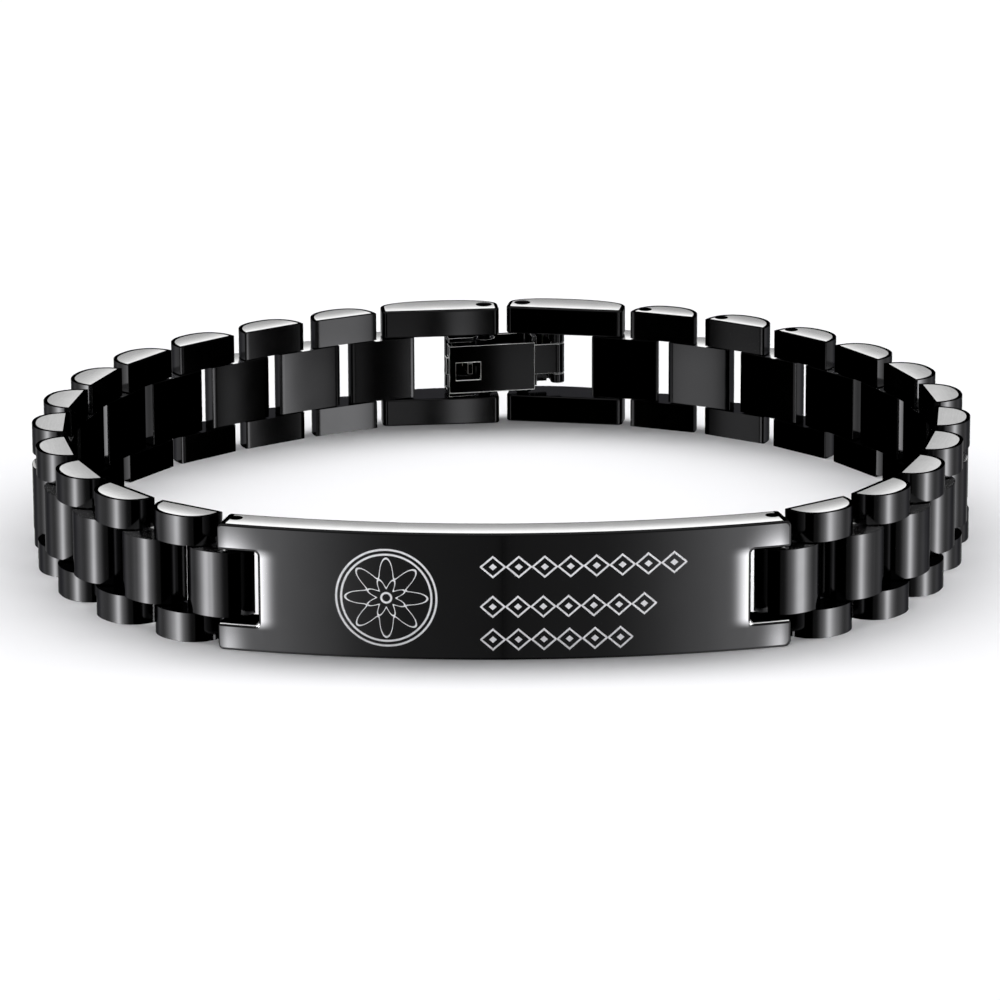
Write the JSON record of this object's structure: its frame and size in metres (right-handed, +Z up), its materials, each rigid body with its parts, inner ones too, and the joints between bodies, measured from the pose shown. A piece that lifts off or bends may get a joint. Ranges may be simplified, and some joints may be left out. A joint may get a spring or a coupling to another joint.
{
  "type": "link band bracelet",
  "caption": "Black polished link band bracelet, closed into a loop: half-round outer and centre links on pins, a curved name plate with notched ends and a small fold-over clasp.",
  "frame": {"origin": "middle of the bounding box's bottom face, where the standing loop rests on its lower edge", "axes": "+X along the name plate, +Y from the plate to the clasp across the loop, +Z up, across the width of the band"},
  "size_m": [0.0748, 0.0676, 0.01],
  "materials": {
    "black_steel": "black-plated steel, mirror polished on the domes and the plate, finely brushed and lighter on the edges",
    "pin_steel": "plain dark steel"
  },
  "bodies": {
    "band": {"id_plate": "black_steel", "left_outer_01": "black_steel", "left_outer_02": "black_steel", "left_outer_03": "black_steel", "left_outer_04": "black_steel", "left_outer_05": "black_steel", "left_outer_06": "black_steel", "left_outer_07": "black_steel", "left_outer_08": "black_steel", "left_outer_09": "black_steel", "left_outer_10": "black_steel", "left_outer_11": "black_steel", "right_outer_01": "black_steel", "right_outer_02": "black_steel", "right_outer_03": "black_steel", "right_outer_04": "black_steel", "right_outer_05": "black_steel", "right_outer_06": "black_steel", "right_outer_07": "black_steel", "right_outer_08": "black_steel", "right_outer_09": "black_steel", "right_outer_10": "black_steel", "right_outer_11": "black_steel", "left_centre_01": "black_steel", "left_centre_02": "black_steel", "left_centre_03": "black_steel", "left_centre_04": "black_steel", "left_centre_05": "black_steel", "left_centre_06": "black_steel", "left_centre_07": "black_steel", "left_centre_08": "black_steel", "left_centre_09": "black_steel", "left_centre_10": "black_steel", "left_centre_11": "black_steel", "left_centre_12": "black_steel", "right_centre_01": "black_steel", "right_centre_02": "black_steel", "right_centre_03": "black_steel", "right_centre_04": "black_steel", "right_centre_05": "black_steel", "right_centre_06": "black_steel", "right_centre_07": "black_steel", "right_centre_08": "black_steel", "right_centre_09": "black_steel", "right_centre_10": "black_steel", "right_centre_11": "black_steel", "right_centre_12": "black_steel", "left_clasp_link": "black_steel", "right_clasp_link": "black_steel", "clasp_base": "black_steel", "left_plate_pin": "pin_steel", "right_plate_pin": "pin_steel", "adjusting_pin_1": "pin_steel", "adjusting_pin_2": "pin_steel", "adjusting_pin_3": "pin_steel", "left_clasp_pin": "pin_steel", "right_clasp_pin": "pin_steel", "clasp_hinge_pin": "pin_steel"},
    "clasp_cover": {"clasp_cover": "black_steel"}
  },
  "joints": [
    {"name": "cover_hinge", "type": "hinge", "parent": "band", "child": "clasp_cover", "pos_m": [0.00479, 0.03214, 0.0053], "axis": [0, 0, 1], "range_deg": [0, 100]}
  ]
}
